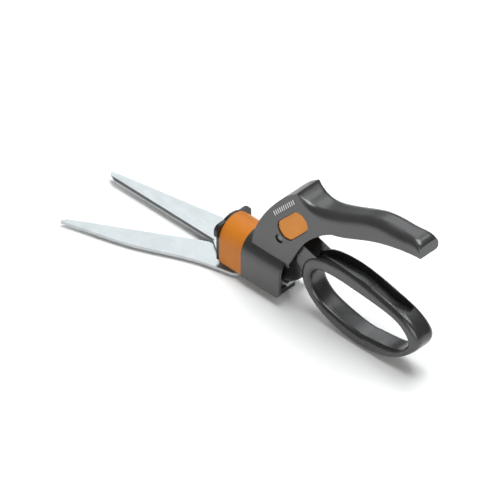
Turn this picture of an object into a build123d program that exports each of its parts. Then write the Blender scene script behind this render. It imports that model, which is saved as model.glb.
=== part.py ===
from build123d import *
import os
from math import atan2, cos, radians, sin

# Grass shears with a squeeze handle.
# +X points to the rear (the blades point to -X), -Y is the near side, +Z is up.
# The origin is on the bottom cover's flat resting face; all sizes are in mm.
# x_head is the front edge of the collar, and the side outlines are laid out from it.

# ---- Driving dimensions ------------------------------------------------------------
x_head = -34.0              # front edge of the collar
run_gap = 0.06              # radial clearance of a running fit
slide_gap = 0.3             # clearance between pieces that move past each other
press = 0.1                 # how much a self-tapped screw or a pressed pin bites

# Blades
blade_reach = 131.0         # tip of the fixed blade, ahead of the collar
blade_width = 25.0          # width of both blades at the heel
blade_thickness = 2.4
blade_gap = 0.2             # between the two blades, and between blade and cover
tip_width = 2.4
bevel_width = 1.4
heel_reach = 20.0           # where the cutting edge ends, ahead of the collar
edge_y = -1.7               # the fixed blade's cutting edge
open_angle = 30.2           # the moving blade's edge at rest, from the head's axis
closing_turn = 25.0
pivot_inset = 8.0           # blade pivot, behind the collar's front edge
pivot_y = -5.0
base_radius = 13.5          # round rear end of the moving blade
edge_offset = 17.9          # moving blade's cutting edge, from the pivot
bolt_radius = 3.0
bush_wall = 2.0
drive_arm = 12.0            # from blade pivot to drive pin
drive_radius = 2.0

# Bottom cover
cover_thickness = 2.6
cover_width = 19.0
cover_length = 46.0
cover_boss_radius = 10.0

# Head
collar_length = 23.5
collar_half = 16.5          # half width of the collar, and radius of its top
collar_wall = 2.2
head_bottom = 8.0           # lower edge of collar and skirt
arch_z = 28.0               # centre of the arch's round top
bezel_thickness = 3.6
bezel_stand_out = 2.1       # how far the crown stands out past the collar
crown_z = 31.0              # lower edge of the crown
skirt_length = 39.5
skirt_half = 17.3
skirt_wall = 2.5
skirt_corner = 4.0          # rounding of the skirt's rear lower corners

# Housing
slab_half = 11.8            # half thickness of the flat-sided body and grip
shell_wall = 2.5
grip_reach = 144.0          # from lever pin to the grip's rear end
end_cap_depth = 4.0
screw_radius = 1.5
screw_head_radius = 3.0
screw_head_height = 2.2
boss_radius = 4.2

# Lever
pin_inset = 57.8            # lever pin, behind the collar's front edge
pin_z = 60.7
pin_radius = 2.5
pin_head_radius = 3.6
pin_recess = 1.4
lever_bush_wall = 1.5
lever_half = 5.0            # half width of the lever's plate inside the housing
neck_half = 7.6
loop_half = 9.5             # half width of the finger loop
loop_edge = 5.0
opening_edge = 4.0
lever_swing = 16.0
foot_radius = 45.4          # lowest point of the lever's foot, from the pin
trough_depth = 7.5
trough_half = 7.2

# Draw bar
bar_thickness = 3.0
bar_half = 4.8
upright_half = 1.5          # half thickness of the bar's upright, inside the lever's slot
upright_width = 9.0
link_radius = 2.0

# Lock button
button_inset = 71.7         # button centre, behind the collar's front edge
button_z = 80.7
button_tilt = 48.0
button_length = 36.6
button_width = 16.6
button_gap = 0.4
button_cap = 5.0
button_recess = 0.8
button_dish = 1.0
lock_travel = 4.0
stem_size = 10.0
tab_half = 2.0
tab_width = 3.0

# Return spring
wire_radius = 0.7
coil_radius = 5.0
coil_height = 2.2

# ---- Worked-out places --------------------------------------------------------------
z_moving = cover_thickness + blade_gap
z_fixed = z_moving + blade_thickness + blade_gap
z_carrier = z_fixed + blade_thickness
base_thickness = 3.0
z_bar = z_carrier + base_thickness + slide_gap
z_bar_top = z_bar + bar_thickness
x_pivot = x_head + pivot_inset
x_joint = x_head + collar_length
x_skirt_end = x_joint + skirt_length
x_pin = x_head + pin_inset
x_button = x_head + button_inset
half_turn = radians(closing_turn / 2)
half_swing = radians(lever_swing / 2)
draw_travel = 2 * drive_arm * sin(half_turn)
link_arm = draw_travel / (2 * sin(half_swing))
drive_x = x_pivot - drive_arm * sin(half_turn)
drive_y = pivot_y + drive_arm * cos(half_turn)
slot_y = pivot_y + drive_arm * (1 + cos(half_turn)) / 2
link_x = x_pin - link_arm * sin(half_swing)
link_z = pin_z - link_arm * cos(half_swing)
link_slot_z = pin_z - link_arm * (1 + cos(half_swing)) / 2
cavity_half = slab_half - shell_wall
bush_radius = pin_radius + lever_bush_wall
blade_bush_radius = bolt_radius + bush_wall
hand_reach = 151.0          # reach that the hand outlines are laid out for
reach = grip_reach / hand_reach
pin_point = (x_pin, 0, pin_z)
lock_angle = atan2(button_z - pin_z, x_button - x_pin)
lock_side = (cos(lock_angle), 0, sin(lock_angle))
tab_side = (cos(lock_angle - half_swing), 0, sin(lock_angle - half_swing))
lock_radius = (button_z - pin_z) / sin(lock_angle)
tab_reach = lock_radius + 2.6
far = 400.0                 # longer than anything here, for cutting tools


def aft(x, z):
    """A point of the hand outlines: x from the lever pin, stretched with the grip's reach."""
    return (x_pin + x * reach, z)


def arch(half, bottom, x_low, x_high):
    """An inverted U with a round top, as a bar along X from x_low to x_high."""
    with BuildPart() as bar:
        with BuildSketch(Plane.YZ.offset(x_low)):
            with Locations((0, bottom)):
                Rectangle(2 * half, arch_z - bottom, align=(Align.CENTER, Align.MIN))
            with Locations((0, arch_z)):
                Circle(half)
        extrude(amount=x_high - x_low)
    return bar.part


def across(x, z, radius, y_low, y_high):
    """A round bar along Y, from y_low to y_high."""
    with BuildPart() as bar:
        with BuildSketch(Plane.XZ.offset(-y_low)):
            with Locations((x, z)):
                Circle(radius)
        extrude(amount=-(y_high - y_low))
    return bar.part


def upright(x, y, radius, z_low, z_high):
    """A round bar along Z, from z_low to z_high."""
    with BuildPart() as bar:
        with BuildSketch(Plane.XY.offset(z_low)):
            with Locations((x, y)):
                Circle(radius)
        extrude(amount=z_high - z_low)
    return bar.part


def block(x_low, x_high, y_low, y_high, z_low, z_high):
    """A plain block between two corners."""
    with BuildPart() as box:
        with BuildSketch(Plane.XY.offset(z_low)):
            with Locations(((x_low + x_high) / 2, (y_low + y_high) / 2)):
                Rectangle(x_high - x_low, y_high - y_low)
        extrude(amount=z_high - z_low)
    return box.part


button_side = Vector(cos(radians(button_tilt)), 0, sin(radians(button_tilt)))
button_plane = Plane(origin=(x_button, 0, button_z), x_dir=button_side, z_dir=(0, -1, 0))


def button_outline(grow):
    """The lock button's outline on its slant: straight long sides and bulging ends."""
    half_length = button_length / 2 + grow
    half_width = button_width / 2 + grow
    shoulder = half_length - 0.42 * button_width
    with BuildSketch(button_plane) as outline:
        with BuildLine():
            Line((-shoulder, half_width), (shoulder, half_width))
            ThreePointArc((shoulder, half_width), (half_length, 0), (shoulder, -half_width))
            Line((shoulder, -half_width), (-shoulder, -half_width))
            ThreePointArc((-shoulder, -half_width), (-half_length, 0), (-shoulder, half_width))
        make_face()
        fillet(outline.vertices(), 2.0)
    return outline.sketch


def finish(part, name):
    """Labels a piece and writes it."""
    part.label = name
    export_step(part, f"parts/{name}.step")


os.makedirs("parts", exist_ok=True)

x_cover_step = x_pivot + base_radius + 1.5
x_cover_end = x_pivot + cover_length
cover_screw_x = (x_cover_step + 6.0, x_cover_end - 6.0)
cover_screw_places = [(x, 0) for x in cover_screw_x]

# ---- Fixed blade --------------------------------------------------------------------
x_tip = x_head - blade_reach
x_heel = x_head - heel_reach
tang_half = collar_half - 1.7
with BuildPart() as fixed_blade:
    with BuildSketch(Plane.XY.offset(z_fixed)):
        with BuildLine():
            Polyline(
                (x_tip + 1.5, edge_y + 2.2),
                (x_tip + 7.0, edge_y),
                (x_heel, edge_y),
                (x_head, -tang_half),
                (x_head + 16.0, -tang_half),
                (x_head + 24.0, -cover_width / 2),
                (x_head + 52.0, -cover_width / 2),
                (x_head + 52.0, cover_width / 2),
                (x_head + 24.0, cover_width / 2),
                (x_head + 16.0, tang_half),
                (x_head - 6.0, tang_half),
                (x_head - 34.0, edge_y + blade_width - 1.0),
                (x_tip + 1.0, edge_y + 3.2 + tip_width),
                (x_tip, edge_y + 2.4 + tip_width),
                (x_tip, edge_y + 3.4),
                close=True,
            )
        make_face()
    extrude(amount=blade_thickness)
    with BuildSketch(Plane.YZ.offset(x_tip - 1.0)):
        with BuildLine():
            Polyline(
                (edge_y - 1.0, z_carrier + 1.0),
                (edge_y - 1.0, z_fixed + blade_thickness * 0.3),
                (edge_y, z_fixed + blade_thickness * 0.3),
                (edge_y + bevel_width, z_carrier),
                (edge_y + bevel_width, z_carrier + 1.0),
                close=True,
            )
        make_face()
    extrude(amount=blade_reach - heel_reach + 1.0, mode=Mode.SUBTRACT)
    add(upright(x_pivot, pivot_y, bolt_radius, z_fixed - 1, z_carrier + 1), mode=Mode.SUBTRACT)
    with BuildSketch(Plane.XY.offset(z_fixed)):
        with Locations((x_pivot, slot_y)):
            SlotCenterToCenter(draw_travel, 2 * (drive_radius + 2 * slide_gap))
        with Locations(*cover_screw_places):
            Circle(screw_radius + 0.2)
    extrude(amount=blade_thickness, mode=Mode.SUBTRACT)

# ---- Moving blade -------------------------------------------------------------------
swung = Plane(
    origin=(x_pivot, pivot_y, z_moving),
    x_dir=(cos(radians(open_angle)), sin(radians(open_angle)), 0),
    z_dir=(0, 0, 1),
)
moving_reach = blade_reach + 9.0
spine_offset = edge_offset - blade_width
with BuildPart() as moving_blade:
    with BuildSketch(swung):
        with BuildLine():
            tail = Polyline(
                (base_radius * cos(radians(75)), base_radius * sin(radians(75))),
                (-2.0, edge_offset - 0.8),
                (-6.0, edge_offset),
                (-(moving_reach - 4.0), edge_offset),
                (-moving_reach, edge_offset - 2.4),
                (-(moving_reach - 0.4), edge_offset - tip_width - 1.0),
            )
            spine = Spline(
                tail @ 1,
                (-0.56 * moving_reach, spine_offset + 7.4),
                (-0.16 * moving_reach, spine_offset + 0.3),
                (0.0, -base_radius),
                tangents=((1, -0.22), (1, -0.25)),
            )
            RadiusArc(spine @ 1, tail @ 0, -base_radius)
        make_face()
    extrude(amount=blade_thickness)
    with BuildSketch(Plane(origin=swung.origin, x_dir=swung.y_dir, z_dir=swung.x_dir)):
        with BuildLine():
            Polyline(
                (edge_offset + 1.0, -1.0),
                (edge_offset + 1.0, blade_thickness * 0.7),
                (edge_offset, blade_thickness * 0.7),
                (edge_offset - bevel_width, 0.0),
                (edge_offset - bevel_width, -1.0),
                close=True,
            )
        make_face()
    extrude(amount=-far, mode=Mode.SUBTRACT)
    add(
        upright(x_pivot, pivot_y, blade_bush_radius, z_moving - 1, z_fixed),
        mode=Mode.SUBTRACT,
    )
    add(upright(drive_x, drive_y, drive_radius, z_moving - 1, z_fixed), mode=Mode.SUBTRACT)

with BuildPart() as blade_bush:
    add(upright(x_pivot, pivot_y, blade_bush_radius, z_moving, z_moving + blade_thickness))
    add(
        upright(x_pivot, pivot_y, bolt_radius + run_gap, z_moving - 1, z_fixed),
        mode=Mode.SUBTRACT,
    )

with BuildPart() as drive_pin:
    add(upright(drive_x, drive_y, drive_radius, z_moving, z_bar_top + 0.6))

# ---- Bottom cover -------------------------------------------------------------------
bolt_head_radius = 5.2
bolt_head_height = 1.5
with BuildPart() as bottom_cover:
    with BuildSketch(Plane.XY):
        with Locations((x_pivot, pivot_y)):
            Circle(cover_boss_radius)
        with Locations((x_pivot, 0)):
            Rectangle(
                cover_length, cover_width, align=(Align.MIN, Align.CENTER)
            )
    extrude(amount=cover_thickness)
    add(block(x_cover_step, x_cover_end, -cover_width / 2, cover_width / 2, 0, z_fixed))
    fillet(bottom_cover.faces().sort_by(Axis.Z)[0].edges(), 0.8)
    add(upright(x_pivot, pivot_y, bolt_radius, -1, z_fixed), mode=Mode.SUBTRACT)
    add(
        upright(x_pivot, pivot_y, bolt_head_radius + 0.2, -1, bolt_head_height),
        mode=Mode.SUBTRACT,
    )
    for x in cover_screw_x:
        add(upright(x, 0, screw_radius + 0.2, -1, z_fixed + 1), mode=Mode.SUBTRACT)
        add(
            upright(x, 0, screw_head_radius + 0.2, -1, screw_head_height),
            mode=Mode.SUBTRACT,
        )

# ---- Blade carrier ------------------------------------------------------------------
carrier_half = collar_half - collar_wall
skirt_inner = skirt_half - skirt_wall
carrier_wall = 2.4
carrier_height = 17.0
x_carrier_end = x_head + 50.0
z_base_top = z_carrier + base_thickness
with BuildPart() as blade_carrier:
    add(block(x_head, x_joint, -carrier_half, carrier_half, z_carrier, z_base_top))
    add(block(x_joint, x_carrier_end, -skirt_inner, skirt_inner, z_carrier, z_base_top))
    for side in (-1, 1):
        outer, inner = side * carrier_half, side * (carrier_half - carrier_wall)
        low, high = min(outer, inner), max(outer, inner)
        add(block(x_head, x_joint, low, high, z_carrier, z_carrier + carrier_height))
        outer, inner = side * skirt_inner, side * (skirt_inner - carrier_wall)
        low, high = min(outer, inner), max(outer, inner)
        add(block(x_joint, x_carrier_end, low, high, z_carrier, z_carrier + carrier_height))
    add(arch(carrier_half, z_carrier, x_head, x_head + carrier_wall))
    add(
        block(
            x_head - 1.0,
            x_head + carrier_wall + 1.0,
            carrier_wall - carrier_half,
            carrier_half - carrier_wall,
            z_base_top,
            z_base_top + 9.0,
        ),
        mode=Mode.SUBTRACT,
    )
    add(upright(x_pivot, pivot_y, bolt_radius, z_carrier - 1, far), mode=Mode.SUBTRACT)
    with BuildSketch(Plane.XY.offset(z_carrier)):
        with Locations((x_pivot, slot_y)):
            SlotCenterToCenter(draw_travel, 2 * (drive_radius + 2 * slide_gap))
    extrude(amount=base_thickness, mode=Mode.SUBTRACT)
    for x in cover_screw_x:
        add(
            upright(x, 0, screw_radius - press, z_carrier - 1, z_base_top + 1),
            mode=Mode.SUBTRACT,
        )

with BuildPart() as pivot_bolt:
    add(upright(x_pivot, pivot_y, bolt_head_radius, 0.2, bolt_head_height))
    add(upright(x_pivot, pivot_y, bolt_radius, 0.2, z_base_top + 7.0))
    with BuildSketch(Plane.XY.offset(0.2)):
        with Locations((x_pivot, pivot_y)):
            RegularPolygon(1.8, 6)
    extrude(amount=1.2, mode=Mode.SUBTRACT)

washer_height = 1.0
with BuildPart() as spring_washer:
    add(upright(x_pivot, pivot_y, bolt_radius + 2.4, z_base_top, z_base_top + washer_height))
    add(upright(x_pivot, pivot_y, bolt_radius, z_base_top - 1, far), mode=Mode.SUBTRACT)

nut_height = 4.5
with BuildPart() as pivot_nut:
    with BuildSketch(Plane.XY.offset(z_base_top + washer_height)):
        with Locations((x_pivot, pivot_y)):
            RegularPolygon(bolt_radius + 2.0, 6, major_radius=False)
            Circle(bolt_radius, mode=Mode.SUBTRACT)
    extrude(amount=nut_height)

with BuildPart() as cover_screws:
    for x in cover_screw_x:
        add(upright(x, 0, screw_head_radius, 0.3, screw_head_height))
        add(upright(x, 0, screw_radius, 0.3, z_base_top - 0.2))
        with BuildSketch(Plane.XY.offset(0.3)):
            with Locations((x, 0)):
                Rectangle(3.4, 0.8)
                Rectangle(0.8, 3.4)
        extrude(amount=1.0, mode=Mode.SUBTRACT)

# ---- Draw bar -----------------------------------------------------------------------
x_bar_front = drive_x - drive_radius - 1.9
x_upright = link_x
with BuildPart() as draw_bar:
    with BuildSketch(Plane.XY.offset(z_bar)):
        with BuildLine():
            Polyline(
                (x_bar_front, drive_y - bar_half),
                (x_head + 28.0, drive_y - bar_half),
                (x_head + 38.0, -bar_half),
                (x_upright + upright_width / 2, -bar_half),
                (x_upright + upright_width / 2, bar_half),
                (x_head + 42.0, bar_half),
                (x_head + 32.0, drive_y + bar_half),
                (x_bar_front, drive_y + bar_half),
                close=True,
            )
        make_face()
        with Locations((drive_x, slot_y)):
            Rectangle(
                2 * (drive_radius + run_gap), 2 * drive_radius + 1.4, mode=Mode.SUBTRACT
            )
    extrude(amount=bar_thickness)
    with BuildSketch(Plane.XZ):
        with Locations((x_upright, z_bar)):
            Rectangle(upright_width, link_z + 5.0 - z_bar, align=(Align.CENTER, Align.MIN))
    extrude(amount=upright_half, both=True)
    with BuildSketch(Plane.XZ):
        with Locations((link_x, link_slot_z)):
            Rectangle(2 * (link_radius + run_gap), 2 * link_radius + 1.4)
    extrude(amount=upright_half + 1, both=True, mode=Mode.SUBTRACT)

with BuildPart() as link_pin:
    add(across(link_x, link_z, link_radius, -lever_half, lever_half))

# ---- Collar and bezel ---------------------------------------------------------------
with BuildPart() as front_collar:
    add(arch(collar_half, head_bottom, x_head, x_joint))
    add(arch(carrier_half, head_bottom - 1, x_head - 1, x_joint + 1), mode=Mode.SUBTRACT)

crown_top = arch_z + 13.6
with BuildPart() as nose_bezel:
    with BuildSketch(Plane.YZ.offset(x_head)) as crown:
        half = collar_half + bezel_stand_out
        with Locations((0, crown_top)):
            Rectangle(2 * half, crown_top - crown_z, align=(Align.CENTER, Align.MAX))
        fillet(crown.vertices().group_by(Axis.Y)[-1], 5.0)
        fillet(crown.vertices().group_by(Axis.Y)[0], 2.0)
    extrude(amount=-bezel_thickness)
    add(arch(collar_half - 0.6, head_bottom + 0.4, x_head - bezel_thickness, x_head))
    fillet(nose_bezel.faces().sort_by(Axis.X)[0].edges(), 1.0)

# ---- Housing ------------------------------------------------------------------------
# The flat-sided body with its guard, seen from the near side, and the grip behind it.
x_guard = x_joint + 6.0
crest = (x_pin + 18.7, 114.6)
x_body_rear = aft(60.0, 0)[0]


def body_outline(inset):
    """Side outline of the flat-sided body, with each point moved inwards by inset."""

    def inner(point, x, z):
        return (point[0] + inset * x, point[1] + inset * z)

    with BuildSketch(Plane.XZ) as outline:
        with BuildLine():
            guard = Spline(
                inner((x_guard, arch_z + 10.0), 1.0, 0.0),
                inner((x_guard + 2.9, 53.8), 0.97, -0.25),
                inner((x_guard + 14.7, 78.7), 0.87, -0.5),
                inner((x_guard + 29.6, 99.0), 0.72, -0.7),
                inner(crest, 0.1, -1.4),
                tangents=((0.05, 1.0), (1.0, 0.62)),
            )
            rear = Polyline(
                guard @ 1,
                inner(aft(24.0, 109.0), -0.2, -1.2),
                inner(aft(32.0, 102.5), 0.0, -1.0),
                inner((x_body_rear, 105.0), 0.0, -1.0),
                inner(aft(60.0, 97.2), 0.0, 1.2),
            )
            under = Spline(
                rear @ 1,
                inner(aft(44.5, 88.0), -0.45, 0.9),
                inner((x_pin + 25.1, 69.8), -0.75, 0.65),
                inner((x_pin + 10.2, arch_z + 14.0), -0.87, 0.48),
                tangents=((-1.0, -0.42), (-0.55, -1.0)),
            )
            Polyline(under @ 1, inner((x_pin + 10.2, arch_z + 10.0), -0.9, 0.0), guard @ 0)
        make_face()
    return outline.sketch


grip_end = 148.0

# Grip stations: x from the pin, top, underside, half width, rounding above and below.
stations = (
    (18.7, 114.6, 96.0, slab_half, 0.6, 0.6),
    (25.0, 111.4, 95.0, slab_half, 3.0, 0.6),
    (34.0, 109.4, 94.0, slab_half, 5.6, 0.6),
    (47.0, 111.2, 94.0, slab_half, 7.4, 0.6),
    (64.0, 117.2, 97.6, slab_half, 8.0, 0.8),
    (88.0, 127.6, 106.8, slab_half - 0.5, 8.0, 2.4),
    (110.0, 133.4, 114.2, slab_half - 0.9, 8.0, 3.4),
    (130.0, 134.4, 118.8, slab_half - 1.2, 7.4, 3.4),
    (grip_end, 131.6, 121.4, slab_half - 1.5, 5.0, 2.6),
)


def grip(inset):
    """The grip as a smooth loft through its stations, drawn inwards by inset."""
    with BuildPart() as body:
        for x, top, under, half, round_top, round_under in stations:
            with BuildSketch(Plane.YZ.offset(aft(x, 0)[0])) as section:
                with Locations((0, (top + under) / 2)):
                    Rectangle(2 * (half - inset), top - under - 2 * inset)
                corners = section.vertices().sort_by(Axis.Y)
                fillet(corners[:2], max(round_under - inset, 0.5))
                corners = section.vertices().sort_by(Axis.Y)
                fillet(corners[-2:], max(round_top - inset, 0.5))
        loft()
    return body.part


# Screw bosses that join the two shells: x and z in the side view.
screw_places = (
    (x_head + 43.5, 62.0),
    (x_head + 67.5, 99.5),
    aft(68.2, 108.6),
    aft(120.0, 126.0),
)
grip_wall = shell_wall + 0.4
pin_boss_near = 5.4
pin_boss_far = coil_radius - wire_radius - 0.5
screw_head_seat = slab_half - 3.4
guide = button_outline(button_gap)
grip_outside = grip(0)
with BuildPart() as cap_cutter:
    with BuildSketch(Plane.XZ):
        with BuildLine():
            Polyline(
                aft(grip_end - end_cap_depth - 7.0, 110.0),
                aft(grip_end - end_cap_depth + 4.0, 145.0),
                aft(180.0, 145.0),
                aft(180.0, 110.0),
                close=True,
            )
        make_face()
    extrude(amount=slab_half + 1, both=True)

with BuildPart() as skirt:
    add(arch(skirt_half, head_bottom, x_joint, x_skirt_end))
    foot_edges = skirt.edges().filter_by(Axis.Y).group_by(Axis.Z)[0]
    fillet(foot_edges.group_by(Axis.X)[-1], skirt_corner)

with BuildPart() as housing:
    extrude(body_outline(0), amount=slab_half, both=True)
    add(grip_outside)
    add(skirt.part)
    add(arch(skirt_inner, head_bottom - 1, x_joint - 1, x_skirt_end + 1), mode=Mode.SUBTRACT)
    extrude(body_outline(shell_wall), amount=cavity_half, both=True, mode=Mode.SUBTRACT)
    add(grip(grip_wall), mode=Mode.SUBTRACT)
    with BuildSketch(Plane.XZ):
        with BuildLine():
            Polyline(
                (x_pin - 12.0, pin_z - 24.0),
                (x_pin - 6.0, pin_z + 8.0),
                (x_pin + 22.0, pin_z + 13.0),
                (x_pin + 36.0, pin_z + 6.0),
                (x_pin + 14.0, arch_z - 2.0),
                close=True,
            )
        make_face()
    extrude(amount=cavity_half, both=True, mode=Mode.SUBTRACT)
    for x, z in screw_places:
        add(across(x, z, boss_radius, -cavity_half, cavity_half))
    add(across(x_pin, pin_z, pin_boss_near, -cavity_half, -lever_half - slide_gap))
    add(across(x_pin, pin_z, pin_boss_far, lever_half + slide_gap, cavity_half))
    for x, z in screw_places:
        add(across(x, z, screw_radius - press, -6.5, 0), mode=Mode.SUBTRACT)
        add(across(x, z, screw_radius + 0.2, 0, far), mode=Mode.SUBTRACT)
        add(across(x, z, screw_head_radius + 0.3, screw_head_seat, far), mode=Mode.SUBTRACT)
    add(across(x_pin, pin_z, pin_radius, -far, far), mode=Mode.SUBTRACT)
    add(
        across(x_pin, pin_z, pin_head_radius + 0.2, -far, pin_recess - slab_half),
        mode=Mode.SUBTRACT,
    )
    add(
        across(x_pin, pin_z, pin_head_radius + 0.2, slab_half - pin_recess, far),
        mode=Mode.SUBTRACT,
    )
    extrude(guide, amount=slab_half + 1, both=True, mode=Mode.SUBTRACT)
    add(cap_cutter.part, mode=Mode.SUBTRACT)

with BuildPart() as handle_end_cap:
    add(grip_outside)
    add(cap_cutter.part, mode=Mode.INTERSECT)

with BuildPart() as right_shell:
    add(housing.part)
    add(block(-far, far, 0, far, -far, far), mode=Mode.SUBTRACT)

with BuildPart() as left_shell:
    add(housing.part)
    add(block(-far, far, -far, 0, -far, far), mode=Mode.SUBTRACT)

with BuildPart() as housing_screws:
    for x, z in screw_places:
        add(across(x, z, screw_head_radius, screw_head_seat, screw_head_seat + screw_head_height))
        add(across(x, z, screw_radius, -6.0, screw_head_seat))
        with BuildSketch(Plane.XZ.offset(-(screw_head_seat + screw_head_height))):
            with Locations((x, z)):
                Rectangle(3.6, 0.8)
                Rectangle(0.8, 3.6)
        extrude(amount=1.2, mode=Mode.SUBTRACT)

with BuildPart() as lever_pivot_pin:
    add(across(x_pin, pin_z, pin_radius, -(slab_half - pin_recess + 0.3), slab_half - pin_recess))
    add(across(x_pin, pin_z, pin_head_radius, slab_half - pin_recess, slab_half - 0.3))
    chamfer(lever_pivot_pin.faces().sort_by(Axis.Y)[0].edges(), 0.25)

# ---- Lower handle -------------------------------------------------------------------
with BuildPart() as loop_outside:
    with BuildSketch(Plane.XZ):
        with BuildLine():
            Spline(
                aft(79.2, 0.04),
                aft(112.0, 5.6),
                aft(137.0, 22.5),
                aft(146.5, 40.0),
                aft(135.0, 51.8),
                aft(112.0, 59.4),
                aft(86.0, 64.8),
                aft(60.0, 66.2),
                aft(38.0, 61.6),
                aft(23.5, 50.0),
                aft(20.0, 34.0),
                aft(31.0, 16.5),
                aft(54.0, 4.4),
                periodic=True,
            )
        make_face()
    extrude(amount=loop_half, both=True)
    fillet(loop_outside.edges().filter_by(Axis.Y, reverse=True), loop_edge)

# The opening is cut in a block, rounded there, and shared with the outside.
with BuildPart() as loop_inside:
    with BuildSketch(Plane.XZ):
        with Locations(aft(85.0, 30.0)):
            Rectangle(200.0, 120.0)
        with BuildLine():
            Spline(
                aft(88.2, 12.4),
                aft(112.0, 15.6),
                aft(130.0, 24.0),
                aft(134.6, 33.0),
                aft(128.0, 42.5),
                aft(110.0, 48.4),
                aft(82.2, 50.8),
                aft(52.0, 51.6),
                aft(36.5, 47.6),
                aft(30.2, 38.0),
                aft(35.0, 26.0),
                aft(58.0, 15.6),
                periodic=True,
            )
        make_face(mode=Mode.SUBTRACT)
    extrude(amount=loop_half, both=True)
    rims = loop_inside.edges().filter_by(GeomType.BSPLINE)
    fillet(rims, opening_edge)

with BuildPart() as lower_handle:
    add(loop_outside.part)
    add(loop_inside.part, mode=Mode.INTERSECT)
    with BuildSketch(Plane.XZ):
        with BuildLine():
            Polyline(
                (x_pin + 17.0, pin_z + 3.5),
                (x_pin + 20.9, pin_z + 3.3),
                aft(38.0, pin_z - 1.4),
                aft(40.0, pin_z - 8.0),
                aft(24.0, pin_z - 22.0),
                (x_pin + 14.0, pin_z - 16.0),
                close=True,
            )
        make_face()
    extrude(amount=neck_half, both=True)
    with BuildSketch(Plane.XZ):
        with BuildLine():
            front = Polyline(
                (x_pin + 12.0, pin_z + 5.0),
                (x_pin - 4.0, pin_z + 7.5),
                (x_pin - 8.5, pin_z),
                (x_pin - 13.6, pin_z - 4.9),
                (x_pin - 13.2, pin_z - 8.4),
                (x_pin - 7.4, pin_z - 10.0),
                (x_pin - 4.2, pin_z - foot_radius + 0.3),
            )
            foot = Spline(
                front @ 1,
                (x_pin + 10.2, pin_z - 38.7),
                aft(22.0, pin_z - 26.0),
                tangents=((1.0, 0.08), (0.5, 0.9)),
            )
            Polyline(foot @ 1, (x_pin + 22.0, pin_z - 12.0), front @ 0)
        make_face()
        with Locations((x_pin, pin_z)):
            Circle(8.4)
    extrude(amount=lever_half, both=True)
    with BuildSketch(Plane(origin=pin_point, x_dir=tab_side, z_dir=(0, -1, 0))):
        Rectangle(tab_reach, tab_width, align=(Align.MIN, Align.CENTER))
    extrude(amount=tab_half, both=True)
    add(across(x_pin, pin_z, bush_radius, -far, far), mode=Mode.SUBTRACT)
    add(across(link_x, link_z, link_radius, -far, far), mode=Mode.SUBTRACT)
    add(
        block(
            x_pin - 18.0,
            x_pin + 6.0,
            -(upright_half + slide_gap + 0.15),
            upright_half + slide_gap + 0.15,
            0,
            pin_z - bush_radius - 4.0,
        ),
        mode=Mode.SUBTRACT,
    )

with BuildPart() as trough:
    with BuildSketch(Plane.XY):
        with BuildLine():
            Spline(
                aft(33.0, 0.0),
                aft(50.0, trough_half - 1.2),
                aft(80.0, trough_half),
                aft(118.0, trough_half - 1.0),
                aft(129.0, 0.0),
                tangents=((0.6, 1.0), (0.0, -1.0)),
            )
            Line(aft(129.0, 0.0), aft(33.0, 0.0))
        make_face()
        mirror(about=Plane.XZ)
    extrude(amount=90.0)
    with BuildSketch(Plane.XZ):
        with BuildLine():
            floor = Spline(
                aft(30.0, 57.0),
                aft(62.0, 66.2 - trough_depth),
                aft(90.0, 64.4 - trough_depth),
                aft(115.0, 58.8 - trough_depth + 0.6),
                aft(131.0, 52.6),
            )
            Polyline(floor @ 1, aft(131.0, 90.0), aft(30.0, 90.0), floor @ 0)
        make_face()
    extrude(amount=loop_half + 1, both=True, mode=Mode.INTERSECT)

with BuildPart() as lower_handle_cut:
    add(lower_handle.part)
    add(trough.part, mode=Mode.SUBTRACT)

with BuildPart() as lever_bush:
    add(across(x_pin, pin_z, bush_radius, -lever_half, lever_half))
    add(across(x_pin, pin_z, pin_radius + run_gap, -far, far), mode=Mode.SUBTRACT)

# ---- Return spring ------------------------------------------------------------------
spring_y = lever_half + slide_gap + wire_radius + 0.2
with BuildPart() as return_spring:
    with BuildLine() as coil:
        Helix(
            pitch=2 * wire_radius + 0.2,
            height=coil_height,
            radius=coil_radius,
            center=(x_pin, spring_y, pin_z),
            direction=(0, 1, 0),
        )
    with BuildSketch(Plane(origin=coil.line @ 0, z_dir=coil.line % 0)):
        Circle(wire_radius)
    sweep()

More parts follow.
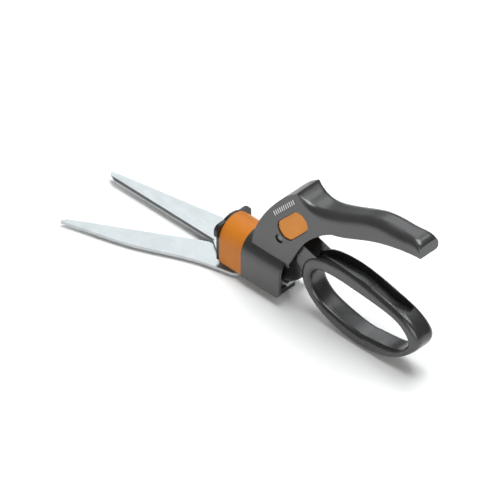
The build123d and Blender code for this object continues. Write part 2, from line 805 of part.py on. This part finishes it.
# ---- Lock button --------------------------------------------------------------------
# Two caps in the shells' openings, joined by a stem with a pocket for the lever's tab.
# The tooth in the pocket moves between the tab's open and closed places.
face_y = slab_half - button_recess
far_face_y = face_y + lock_travel - slide_gap
pocket_low = -(tab_half + slide_gap)
pocket_high = tab_half + slide_gap + lock_travel
tooth_half = lock_radius * sin(half_swing) - tab_width / 2 - 2 * slide_gap
crease = -button_length / 4
button_across = button_side.cross(Vector(0, 1, 0))
cap_plane = Plane(origin=(x_button, 0, button_z), x_dir=button_side, z_dir=button_across)
stem_plane = Plane(origin=pin_point, x_dir=lock_side, z_dir=(0, -1, 0))
with BuildPart() as lock_button:
    extrude(button_outline(0), amount=face_y)
    extrude(button_outline(0), amount=-far_face_y)
    add(
        block(-far, far, button_cap - face_y, far_face_y - button_cap, -far, far),
        mode=Mode.SUBTRACT,
    )
    with BuildSketch(cap_plane):
        for side, face in ((-1, face_y), (1, far_face_y)):
            with BuildLine():
                Polyline(
                    (-button_length, side * (face - 1.1 * button_dish)),
                    (crease, side * face),
                    (button_length, side * (face - 1.7 * button_dish)),
                    (button_length, side * far),
                    (-button_length, side * far),
                    close=True,
                )
            make_face()
    extrude(amount=button_width, both=True, mode=Mode.SUBTRACT)
    with BuildSketch(stem_plane.offset(-far_face_y + button_cap)):
        with Locations((lock_radius - 4.4, 0)):
            Rectangle(12.5, stem_size, align=(Align.MIN, Align.CENTER))
    extrude(amount=far_face_y + face_y - 2 * button_cap)
    with BuildSketch(stem_plane.offset(-pocket_high)):
        Rectangle(tab_reach + 0.7, 2 * stem_size, align=(Align.MIN, Align.CENTER))
    extrude(amount=pocket_high - pocket_low, mode=Mode.SUBTRACT)
    with BuildSketch(stem_plane.offset(-pocket_high)):
        with Locations((lock_radius - 4.4, 0)):
            Rectangle(8.0, 2 * tooth_half, align=(Align.MIN, Align.CENTER))
    extrude(amount=lock_travel)

pieces = {
    "fixed_blade": fixed_blade,
    "moving_blade": moving_blade,
    "blade_bush": blade_bush,
    "drive_pin": drive_pin,
    "bottom_cover": bottom_cover,
    "blade_carrier": blade_carrier,
    "pivot_bolt": pivot_bolt,
    "spring_washer": spring_washer,
    "pivot_nut": pivot_nut,
    "cover_screws": cover_screws,
    "draw_bar": draw_bar,
    "link_pin": link_pin,
    "front_collar": front_collar,
    "nose_bezel": nose_bezel,
    "right_shell": right_shell,
    "left_shell": left_shell,
    "handle_end_cap": handle_end_cap,
    "housing_screws": housing_screws,
    "lever_pivot_pin": lever_pivot_pin,
    "lower_handle": lower_handle_cut,
    "lever_bush": lever_bush,
    "return_spring": return_spring,
    "lock_button": lock_button,
}
for name, piece in pieces.items():
    print(name, len(piece.part.solids()), round(piece.part.volume, 1), piece.part.is_valid)
    finish(piece.part, name)
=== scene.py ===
import logging
import math
from dataclasses import dataclass, field
from enum import Enum

import bmesh
import bpy
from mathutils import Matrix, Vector


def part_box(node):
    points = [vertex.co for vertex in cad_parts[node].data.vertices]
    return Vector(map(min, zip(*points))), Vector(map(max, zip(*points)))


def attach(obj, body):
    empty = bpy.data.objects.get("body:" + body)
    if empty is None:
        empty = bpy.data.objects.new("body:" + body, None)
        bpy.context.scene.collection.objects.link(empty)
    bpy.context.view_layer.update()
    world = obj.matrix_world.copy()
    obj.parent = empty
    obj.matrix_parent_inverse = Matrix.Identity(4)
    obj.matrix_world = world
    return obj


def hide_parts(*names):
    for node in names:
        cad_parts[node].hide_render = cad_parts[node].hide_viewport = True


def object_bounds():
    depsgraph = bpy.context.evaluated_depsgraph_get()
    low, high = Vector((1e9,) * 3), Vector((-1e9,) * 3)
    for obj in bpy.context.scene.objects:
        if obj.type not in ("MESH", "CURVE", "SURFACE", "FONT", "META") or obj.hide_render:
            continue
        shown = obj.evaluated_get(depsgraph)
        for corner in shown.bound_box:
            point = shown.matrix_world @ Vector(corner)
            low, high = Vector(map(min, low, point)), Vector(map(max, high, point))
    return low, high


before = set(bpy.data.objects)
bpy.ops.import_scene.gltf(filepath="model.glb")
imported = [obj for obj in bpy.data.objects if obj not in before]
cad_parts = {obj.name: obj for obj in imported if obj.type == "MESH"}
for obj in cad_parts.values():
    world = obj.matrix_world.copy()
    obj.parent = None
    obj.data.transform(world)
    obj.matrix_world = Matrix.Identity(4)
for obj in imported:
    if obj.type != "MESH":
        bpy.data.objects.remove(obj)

CAD_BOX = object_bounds()
NODES: dict[str, bpy.types.Object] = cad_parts
MM = 0.001
MERGE_DISTANCE = 0.002 * MM
SLIVER_LENGTH = 0.001 * MM
FLAT_ANGLE = math.radians(0.4)
Colour = tuple[float, float, float]

logging.basicConfig(level=logging.INFO, format="%(name)s: %(message)s")
log = logging.getLogger("grass_shears")


class Streak(Enum):
    """Which way a metal's grinding lines run, as stretches of the pattern along X, Y and Z."""

    ALONG = (0.03, 1.0, 1.0)
    EVEN = (1.0, 1.0, 1.0)


class Body(Enum):
    """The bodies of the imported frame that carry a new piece."""

    HOUSING = "housing"
    LEVER = "lower_handle"
    BLADE = "moving_blade"
    LOCK = "lock_button"


# ---- Finishes ------------------------------------------------------------------------
class NodeChain:
    """Short calls for adding and linking the nodes of one material."""

    def __init__(self, name: str) -> None:
        """Makes a material with nodes.

        Args:
            name: The material's name.
        """
        self.material = bpy.data.materials.new(name)
        self.material.use_nodes = True
        self.tree = self.material.node_tree
        self.shader = self.tree.nodes["Principled BSDF"]
        self.place = self.tree.nodes.new("ShaderNodeTexCoord").outputs["Object"]

    def add(self, kind: str) -> bpy.types.Node:
        """Adds a node of the given type and returns it."""
        return self.tree.nodes.new(kind)

    def link(self, source: bpy.types.NodeSocket, target: bpy.types.NodeSocket) -> None:
        """Links an output to an input."""
        self.tree.links.new(source, target)

    def noise(
        self,
        size: float,
        detail: float,
        stretch: tuple[float, float, float] = (1.0, 1.0, 1.0),
    ) -> bpy.types.NodeSocket:
        """Adds a noise pattern.

        Args:
            size: Size of one blotch, in metres.
            detail: How many finer layers it has.
            stretch: Scale of the pattern along X, Y and Z.

        Returns:
            The pattern's value, about 0.5 on average.
        """
        mapping = self.add("ShaderNodeMapping")
        mapping.inputs["Scale"].default_value = stretch
        self.link(self.place, mapping.inputs["Vector"])
        noise = self.add("ShaderNodeTexNoise")
        noise.inputs["Scale"].default_value = 1 / size
        noise.inputs["Detail"].default_value = detail
        self.link(mapping.outputs["Vector"], noise.inputs["Vector"])
        return noise.outputs["Fac"]

    def spread(
        self, value: bpy.types.NodeSocket, low: float, high: float
    ) -> bpy.types.NodeSocket:
        """Maps a noise value to a range.

        Args:
            value: The noise, mostly between 0.3 and 0.7.
            low: What 0.3 becomes.
            high: What 0.7 becomes.

        Returns:
            The mapped value.
        """
        ranged = self.add("ShaderNodeMapRange")
        ranged.inputs["From Min"].default_value = 0.3
        ranged.inputs["From Max"].default_value = 0.7
        ranged.inputs["To Min"].default_value = low
        ranged.inputs["To Max"].default_value = high
        self.link(value, ranged.inputs["Value"])
        return ranged.outputs["Result"]

    def tint(self, value: bpy.types.NodeSocket, dark: Colour, light: Colour) -> None:
        """Varies the base colour between two colours.

        Args:
            value: The noise that mixes them.
            dark: The colour at the low end.
            light: The colour at the high end.
        """
        ramp = self.add("ShaderNodeValToRGB")
        ramp.color_ramp.elements[0].position = 0.3
        ramp.color_ramp.elements[0].color = (*dark, 1)
        ramp.color_ramp.elements[1].position = 0.7
        ramp.color_ramp.elements[1].color = (*light, 1)
        self.link(value, ramp.inputs["Fac"])
        self.link(ramp.outputs["Color"], self.shader.inputs["Base Color"])

    def bump(self, value: bpy.types.NodeSocket, depth: float) -> None:
        """Raises the surface by a pattern.

        Args:
            value: The height pattern.
            depth: Height of the pattern, in metres.
        """
        bump = self.add("ShaderNodeBump")
        bump.inputs["Distance"].default_value = depth
        bump.inputs["Strength"].default_value = 1.0
        self.link(value, bump.inputs["Height"])
        self.link(bump.outputs["Normal"], self.shader.inputs["Normal"])


def shade(colour: Colour, factor: float) -> Colour:
    """Returns a colour made lighter or darker by a factor, at most white."""
    return tuple(min(1.0, c * factor) for c in colour)


@dataclass(frozen=True)
class MouldedPlastic:
    """Moulded plastic with a fine spark-eroded grain and faint flow marks."""

    name: str
    colour: Colour
    roughness: float = 0.42
    specular: float = 0.5
    grain_size: float = 0.5 * MM
    grain_depth: float = 0.02 * MM
    mottle: float = 0.06

    def material(self) -> bpy.types.Material:
        """Returns the finish as a material, made the first time that it is asked for."""
        made = bpy.data.materials.get(self.name)
        if made:
            return made
        chain = NodeChain(self.name)
        chain.shader.inputs["Specular IOR Level"].default_value = self.specular
        flow = chain.noise(14 * MM, 4.0)
        chain.tint(flow, shade(self.colour, 1 - self.mottle), shade(self.colour, 1 + self.mottle))
        grain = chain.noise(self.grain_size, 3.0)
        rough = chain.spread(flow, self.roughness - 0.04, self.roughness + 0.04)
        chain.link(rough, chain.shader.inputs["Roughness"])
        chain.bump(grain, self.grain_depth)
        return chain.material


@dataclass(frozen=True)
class GroundMetal:
    """Ground, plated or blackened metal with fine lines left by its finishing."""

    name: str
    colour: Colour
    roughness: float = 0.3
    streak: Streak = Streak.EVEN
    line_size: float = 0.35 * MM
    line_depth: float = 0.006 * MM
    tarnish: float = 0.05

    def material(self) -> bpy.types.Material:
        """Returns the finish as a material, made the first time that it is asked for."""
        made = bpy.data.materials.get(self.name)
        if made:
            return made
        chain = NodeChain(self.name)
        chain.shader.inputs["Metallic"].default_value = 1.0
        cloud = chain.noise(9 * MM, 3.0)
        chain.tint(cloud, shade(self.colour, 1 - self.tarnish), shade(self.colour, 1 + self.tarnish))
        lines = chain.noise(self.line_size, 2.0, self.streak.value)
        rough = chain.spread(lines, self.roughness - 0.07, self.roughness + 0.07)
        chain.link(rough, chain.shader.inputs["Roughness"])
        chain.bump(lines, self.line_depth)
        return chain.material


BODY_GREY = MouldedPlastic("body_grey_plastic", (0.020, 0.020, 0.019), 0.33, 0.85)
HANDLE_GREY = MouldedPlastic("handle_grey_plastic", (0.016, 0.016, 0.016), 0.28, 0.85)
CAP_GREY = MouldedPlastic("cap_grey_plastic", (0.018, 0.018, 0.018), 0.3, 0.85)
COLLAR_ORANGE = MouldedPlastic(
    "collar_orange_plastic", (0.50, 0.160, 0.016), 0.40, 0.22, 0.5 * MM, 0.012 * MM
)
BUTTON_YELLOW = MouldedPlastic(
    "button_yellow_plastic", (0.66, 0.240, 0.030), 0.42, 0.22, 0.5 * MM, 0.012 * MM
)
BEZEL_BLACK = MouldedPlastic("bezel_black_plastic", (0.012, 0.012, 0.013), 0.35, 0.5)
COVER_BLACK = MouldedPlastic("cover_black_plastic", (0.014, 0.014, 0.015), 0.4, 0.5)
MARK_WHITE = MouldedPlastic("mark_white_ink", (0.72, 0.72, 0.70), 0.5, 0.3, 0.3 * MM, 0.002 * MM, 0.04)
BLADE_STEEL = GroundMetal("blade_ground_steel", (0.46, 0.48, 0.485), 0.34, Streak.ALONG)
CARRIER_STEEL = GroundMetal("carrier_blackened_steel", (0.05, 0.05, 0.052), 0.4)
PIN_STEEL = GroundMetal("pin_turned_steel", (0.2, 0.2, 0.2), 0.45)
SCREW_STEEL = GroundMetal("screw_plated_steel", (0.42, 0.43, 0.44), 0.32)
SPRING_STEEL = GroundMetal("spring_drawn_steel", (0.34, 0.34, 0.35), 0.35)
BAR_STEEL = GroundMetal("bar_rolled_steel", (0.38, 0.385, 0.39), 0.38, Streak.ALONG)
BUSH_BRASS = GroundMetal("bush_turned_brass", (0.62, 0.44, 0.17), 0.3)

Finish = MouldedPlastic | GroundMetal


# ---- Making pieces -------------------------------------------------------------------
def publish(mesh: bpy.types.Mesh, name: str, finish: Finish, body: Body) -> bpy.types.Object:
    """Puts a finished mesh in the scene as a piece that rides on a body.

    Args:
        mesh: The piece's mesh, already in its place.
        name: The piece's name.
        finish: What it is made of.
        body: The body that carries it.

    Returns:
        The new object.
    """
    mesh.name = name
    mesh.materials.clear()
    mesh.materials.append(finish.material())
    piece = bpy.data.objects.new(name, mesh)
    bpy.context.scene.collection.objects.link(piece)
    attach(piece, body.value)
    return piece


def baked(piece: bpy.types.Object) -> bpy.types.Mesh:
    """Returns the mesh of an object with its modifiers applied, and removes the object."""
    graph = bpy.context.evaluated_depsgraph_get()
    mesh = bpy.data.meshes.new_from_object(piece.evaluated_get(graph), depsgraph=graph)
    bpy.data.objects.remove(piece)
    return mesh


@dataclass
class Skin:
    """A merged, smooth-shaded copy of one CAD node that stands in for it."""

    node: str
    finish: Finish
    body: Body
    crease: float = 30.0
    edge: float = 0.0
    slot: str = ""

    def merged(self) -> bpy.types.Mesh:
        """Returns the node's triangles joined into one clean mesh.

        Where the skin gets a rounded edge, flat areas become single faces first.
        """
        form = bmesh.new()
        form.from_mesh(NODES[self.node].data)
        bmesh.ops.remove_doubles(form, verts=form.verts, dist=MERGE_DISTANCE)
        bmesh.ops.dissolve_degenerate(form, edges=form.edges, dist=SLIVER_LENGTH)
        if self.edge:
            bmesh.ops.dissolve_limit(
                form, angle_limit=FLAT_ANGLE, verts=form.verts, edges=form.edges
            )
        limit = math.radians(self.crease)
        for face in form.faces:
            face.smooth = True
        for line in form.edges:
            line.smooth = len(line.link_faces) == 2 and line.calc_face_angle(0) < limit
        mesh = bpy.data.meshes.new(self.node + "_skin")
        form.to_mesh(mesh)
        form.free()
        mesh.materials.clear()
        return mesh

    def make(self) -> bpy.types.Object:
        """Builds the skin and hides the node behind it.

        Returns:
            The skin's object.
        """
        draft = bpy.data.objects.new(self.node + "_draft", self.merged())
        bpy.context.scene.collection.objects.link(draft)
        if self.edge:
            bevel = draft.modifiers.new("edge", "BEVEL")
            bevel.width = self.edge
            bevel.segments = 2
            bevel.limit_method = "ANGLE"
            bevel.angle_limit = math.radians(self.crease)
            bevel.harden_normals = True
        even = draft.modifiers.new("even", "WEIGHTED_NORMAL")
        even.keep_sharp = True
        piece = publish(baked(draft), self.node + "_skin", self.finish, self.body)
        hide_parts(self.node)
        log.info("%s stands for %s", piece.name, self.node)
        return piece


def dress(node: str, finish: Finish) -> None:
    """Gives a CAD node a better material through its slots.

    Args:
        node: The node's name.
        finish: What it is made of.
    """
    for slot in NODES[node].material_slots:
        slot.material = finish.material()
    log.info("%s keeps its shape, in %s", node, finish.name)


# ---- Sub-assemblies ------------------------------------------------------------------
@dataclass
class Blades:
    """The fixed and the moving blade."""

    crease: float = 14.0

    def make(self) -> None:
        """Builds both blades and dresses their bush and drive pin."""
        Skin("fixed_blade", BLADE_STEEL, Body.HOUSING, self.crease, slot="blade_steel").make()
        Skin("moving_blade", BLADE_STEEL, Body.BLADE, self.crease, slot="blade_steel").make()
        dress("blade_bush", BUSH_BRASS)
        dress("drive_pin", PIN_STEEL)


@dataclass
class CuttingHead:
    """The orange collar, its black crown, and the metal and plastic under them."""

    edge: float = 0.35 * MM

    def make(self) -> None:
        """Builds the head's outside pieces and dresses its fasteners."""
        Skin("front_collar", COLLAR_ORANGE, Body.HOUSING, 30, self.edge, "collar_plastic").make()
        Skin("nose_bezel", BEZEL_BLACK, Body.HOUSING, 30, 0, "bezel_plastic").make()
        Skin("blade_carrier", CARRIER_STEEL, Body.HOUSING, 30, 0, "carrier_metal").make()
        Skin("bottom_cover", COVER_BLACK, Body.HOUSING, 30, 0, "cover_plastic").make()
        for node in ("pivot_bolt", "pivot_nut", "cover_screws"):
            dress(node, SCREW_STEEL)
        dress("spring_washer", SPRING_STEEL)


@dataclass
class MarkRow:
    """A printed row of short slanted bars on the housing's near face."""

    start: tuple[float, float] = (19.2 * MM, 83.0 * MM)
    tilt: float = 48.0
    pitch: float = 2.9 * MM
    count: int = 11
    bar: tuple[float, float, float] = (1.0 * MM, 3.8 * MM, 0.04 * MM)
    slant: float = -18.0
    pin_depth: float = 0.3 * MM

    def tree(self) -> bpy.types.NodeTree:
        """Returns the node tree that lays the bars in a row and stands the row on the face."""
        tree = bpy.data.node_groups.new("mark_row", "GeometryNodeTree")
        face = tree.interface
        face.new_socket("Count", in_out="INPUT", socket_type="NodeSocketInt")
        face.new_socket("Pitch", in_out="INPUT", socket_type="NodeSocketFloat")
        face.new_socket("Bar Size", in_out="INPUT", socket_type="NodeSocketVector")
        face.new_socket("Slant", in_out="INPUT", socket_type="NodeSocketVector")
        face.new_socket("Place", in_out="INPUT", socket_type="NodeSocketVector")
        face.new_socket("Turn", in_out="INPUT", socket_type="NodeSocketVector")
        face.new_socket("Ink", in_out="INPUT", socket_type="NodeSocketMaterial")
        face.new_socket("Geometry", in_out="OUTPUT", socket_type="NodeSocketGeometry")
        add, link = tree.nodes.new, tree.links.new
        given, result = add("NodeGroupInput"), add("NodeGroupOutput")
        step = add("ShaderNodeCombineXYZ")
        link(given.outputs["Pitch"], step.inputs["X"])
        line = add("GeometryNodeMeshLine")
        link(given.outputs["Count"], line.inputs["Count"])
        link(step.outputs["Vector"], line.inputs["Offset"])
        cube = add("GeometryNodeMeshCube")
        link(given.outputs["Bar Size"], cube.inputs["Size"])
        copies = add("GeometryNodeInstanceOnPoints")
        link(line.outputs["Mesh"], copies.inputs["Points"])
        link(cube.outputs["Mesh"], copies.inputs["Instance"])
        link(given.outputs["Slant"], copies.inputs["Rotation"])
        stand = add("GeometryNodeTransform")
        link(copies.outputs["Instances"], stand.inputs["Geometry"])
        link(given.outputs["Place"], stand.inputs["Translation"])
        link(given.outputs["Turn"], stand.inputs["Rotation"])
        real = add("GeometryNodeRealizeInstances")
        link(stand.outputs["Geometry"], real.inputs["Geometry"])
        paint = add("GeometryNodeSetMaterial")
        link(real.outputs["Geometry"], paint.inputs["Geometry"])
        link(given.outputs["Ink"], paint.inputs["Material"])
        link(paint.outputs["Geometry"], result.inputs["Geometry"])
        return tree

    def make(self) -> bpy.types.Object:
        """Builds the row on the near shell's flat face.

        Returns:
            The row's object.
        """
        near_face = -(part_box("lever_pivot_pin")[1].y + self.pin_depth)
        tree = self.tree()
        values = {
            "Count": self.count,
            "Pitch": self.pitch,
            "Bar Size": self.bar,
            "Slant": (0.0, 0.0, math.radians(self.slant)),
            "Place": (self.start[0], near_face, self.start[1]),
            "Turn": (math.radians(90), -math.radians(self.tilt), 0.0),
            "Ink": MARK_WHITE.material(),
        }
        draft = bpy.data.objects.new("mark_draft", bpy.data.meshes.new("mark_draft"))
        bpy.context.scene.collection.objects.link(draft)
        row = draft.modifiers.new("row", "NODES")
        row.node_group = tree
        sockets = {s.name: s.identifier for s in tree.interface.items_tree if s.in_out == "INPUT"}
        for name, value in values.items():
            row[sockets[name]] = value
        piece = publish(baked(draft), "printed_mark", MARK_WHITE, Body.HOUSING)
        log.info("printed mark of %d bars", self.count)
        return piece


@dataclass
class Housing:
    """The two shells with the grip, its end cap, the lever pin and the housing screws."""

    mark: MarkRow = field(default_factory=MarkRow)

    def make(self) -> None:
        """Builds the shells, the cap and the printed mark."""
        Skin("right_shell", BODY_GREY, Body.HOUSING, 28, 0, "body_plastic").make()
        Skin("left_shell", BODY_GREY, Body.HOUSING, 28, 0, "body_plastic").make()
        Skin("handle_end_cap", CAP_GREY, Body.HOUSING, 28, 0, "cap_plastic").make()
        Skin("lever_pivot_pin", PIN_STEEL, Body.HOUSING, 30, 0, "pin_steel").make()
        dress("housing_screws", SCREW_STEEL)
        self.mark.make()


@dataclass
class SqueezeLever:
    """The lower handle with its finger loop, its bush and the link pin."""

    def make(self) -> None:
        """Builds the handle's skin and dresses its metal."""
        Skin("lower_handle", HANDLE_GREY, Body.LEVER, 32, 0, "handle_plastic").make()
        dress("lever_bush", BUSH_BRASS)
        dress("link_pin", PIN_STEEL)


@dataclass
class Works:
    """The lock button, the draw bar and the return spring."""

    def make(self) -> None:
        """Builds the button's skin and dresses the bar and the spring."""
        Skin("lock_button", BUTTON_YELLOW, Body.LOCK, 24, 0, "button_plastic").make()
        dress("draw_bar", BAR_STEEL)
        dress("return_spring", SPRING_STEEL)


# ---- Studio --------------------------------------------------------------------------
@dataclass(frozen=True)
class Softbox:
    """A large soft light, aimed at the object."""

    name: str
    place: tuple[float, float, float]
    width: float
    height: float
    power: float
    colour: Colour = (1.0, 1.0, 1.0)

    def make(self, aim: Vector) -> None:
        """Hangs the light.

        Args:
            aim: The point that it faces.
        """
        data = bpy.data.lights.new(self.name, "AREA")
        data.shape = "RECTANGLE"
        data.size, data.size_y = self.width, self.height
        data.energy, data.color = self.power, self.colour
        light = bpy.data.objects.new(self.name, data)
        light.visible_camera = False
        light.location = self.place
        light.rotation_euler = (aim - light.location).to_track_quat("-Z", "Y").to_euler()
        bpy.context.scene.collection.objects.link(light)


@dataclass
class Studio:
    """The camera, the pale floor and the lights."""

    azimuth: float = 44.0
    elevation: float = 40.0
    distance: float = 10.0
    lens: float = 983.3
    aim: Vector = field(default_factory=lambda: Vector((-25.3, 2.75, 17.3)) * MM)
    floor_half: float = 6.0
    surround: float = 0.22
    lights: tuple[Softbox, ...] = (
        Softbox("top_light", (0.15, 0.15, 1.6), 1.1, 1.1, 30.0, (0.97, 0.99, 1.0)),
        Softbox("back_light", (-0.95, 1.0, 1.15), 0.9, 0.9, 5.0, (0.93, 0.98, 1.0)),
        Softbox("front_light", (0.9, -1.4, 0.7), 1.0, 0.8, 9.0, (1.0, 0.98, 0.94)),
    )

    def set_camera(self) -> None:
        """Makes the camera, before anything else in the scene."""
        data = bpy.data.cameras.new("view_camera")
        data.lens, data.sensor_width = self.lens, 36.0
        data.clip_start, data.clip_end = 0.05, 50.0
        camera = bpy.data.objects.new("view_camera", data)
        turn, rise = math.radians(self.azimuth), math.radians(self.elevation)
        back = Vector((math.sin(turn) * math.cos(rise), -math.cos(turn) * math.cos(rise), math.sin(rise)))
        camera.location = self.aim + back * self.distance
        camera.rotation_euler = (-back).to_track_quat("-Z", "Y").to_euler()
        bpy.context.scene.collection.objects.link(camera)
        bpy.context.scene.camera = camera

    def floor(self) -> None:
        """Lays the pale floor just under the resting face."""
        form = bmesh.new()
        bmesh.ops.create_grid(form, x_segments=1, y_segments=1, size=self.floor_half)
        bmesh.ops.translate(form, verts=form.verts, vec=(0, 0, CAD_BOX[0].z - 0.1 * MM))
        mesh = bpy.data.meshes.new("floor")
        form.to_mesh(mesh)
        form.free()
        chain = NodeChain("floor_paper")
        chain.shader.inputs["Base Color"].default_value = (0.93, 0.93, 0.93, 1)
        chain.shader.inputs["Roughness"].default_value = 0.8
        chain.shader.inputs["Specular IOR Level"].default_value = 0.1
        mesh.materials.append(chain.material)
        paper = bpy.data.objects.new("floor", mesh)
        bpy.context.scene.collection.objects.link(paper)

    def light(self) -> None:
        """Hangs the lights and sets the dim surround and the plain colour handling."""
        world = bpy.data.worlds.new("surround")
        world.use_nodes = True
        sky = world.node_tree.nodes["Background"]
        sky.inputs["Color"].default_value = (1, 1, 1, 1)
        sky.inputs["Strength"].default_value = self.surround
        bpy.context.scene.world = world
        bpy.context.scene.view_settings.view_transform = "Standard"
        for softbox in self.lights:
            softbox.make(Vector((0.02, 0.0, 0.04)))


def main() -> None:
    """Builds the shears, sub-assembly by sub-assembly."""
    studio = Studio()
    studio.set_camera()
    for part in (Blades(), CuttingHead(), Housing(), SqueezeLever(), Works()):
        log.info("making %s", type(part).__name__)
        part.make()
    studio.floor()
    studio.light()


if __name__ == "__main__":
    main()
